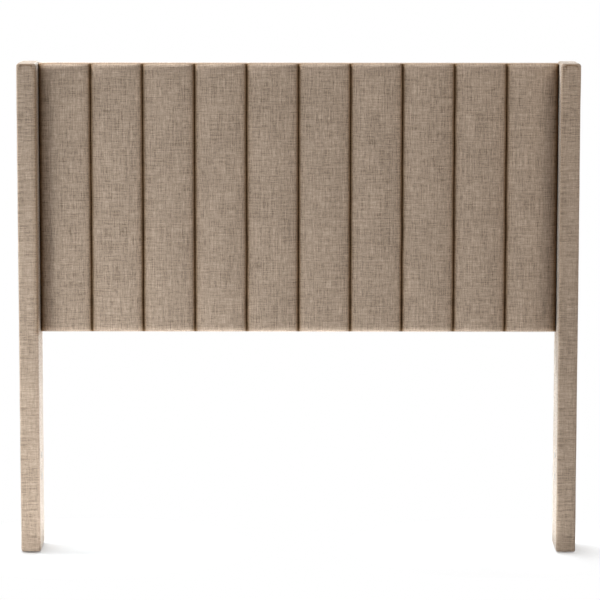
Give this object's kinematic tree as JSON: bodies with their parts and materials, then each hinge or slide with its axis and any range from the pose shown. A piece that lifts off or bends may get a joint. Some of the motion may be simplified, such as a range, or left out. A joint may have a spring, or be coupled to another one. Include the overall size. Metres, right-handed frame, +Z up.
{
  "type": "headboard",
  "caption": "Upholstered headboard: a padded panel with upright sewn channels, held between two cloth-covered wings that run down to the floor as legs.",
  "frame": {"origin": "on the floor, in the middle of the headboard's width and depth", "axes": "+X across the bed, to the right as seen from the front; +Y from the front to the wall; +Z up"},
  "size_m": [1.651, 0.1558, 1.456],
  "materials": {
    "linen": "matte",
    "foam": "matte",
    "plywood": "matte",
    "softwood": "matte",
    "hardboard": "matte",
    "dust_cloth": "matte",
    "zinc_steel": "satin",
    "nylon": "satin"
  },
  "bodies": {
    "root": {"panel_cover": "linen", "left_wing_cover": "linen", "right_wing_cover": "linen", "channel_pad_01": "foam", "channel_pad_02": "foam", "channel_pad_03": "foam", "channel_pad_04": "foam", "channel_pad_05": "foam", "channel_pad_06": "foam", "channel_pad_07": "foam", "channel_pad_08": "foam", "channel_pad_09": "foam", "channel_pad_10": "foam", "left_wing_foam": "foam", "right_wing_foam": "foam", "panel_board": "plywood", "frame_top_rail": "softwood", "frame_bottom_rail": "softwood", "frame_left_stile": "softwood", "frame_right_stile": "softwood", "frame_middle_stile_left": "softwood", "frame_middle_stile_centre": "softwood", "frame_middle_stile_right": "softwood", "left_wing_front_post": "softwood", "right_wing_front_post": "softwood", "left_wing_back_post": "softwood", "right_wing_back_post": "softwood", "left_wing_rungs": "softwood", "right_wing_rungs": "softwood", "left_wing_inner_skin": "hardboard", "left_wing_outer_skin": "hardboard", "right_wing_inner_skin": "hardboard", "right_wing_outer_skin": "hardboard", "dust_cover": "dust_cloth", "left_joining_plates": "zinc_steel", "right_joining_plates": "zinc_steel", "left_joining_screws": "zinc_steel", "right_joining_screws": "zinc_steel", "dust_cover_staples": "zinc_steel", "frame_screws": "zinc_steel", "board_screws": "zinc_steel", "left_plate_inserts": "zinc_steel", "right_plate_inserts": "zinc_steel", "left_bed_inserts": "zinc_steel", "right_bed_inserts": "zinc_steel", "left_foot_glides": "nylon", "right_foot_glides": "nylon"}
  },
  "joints": []
}
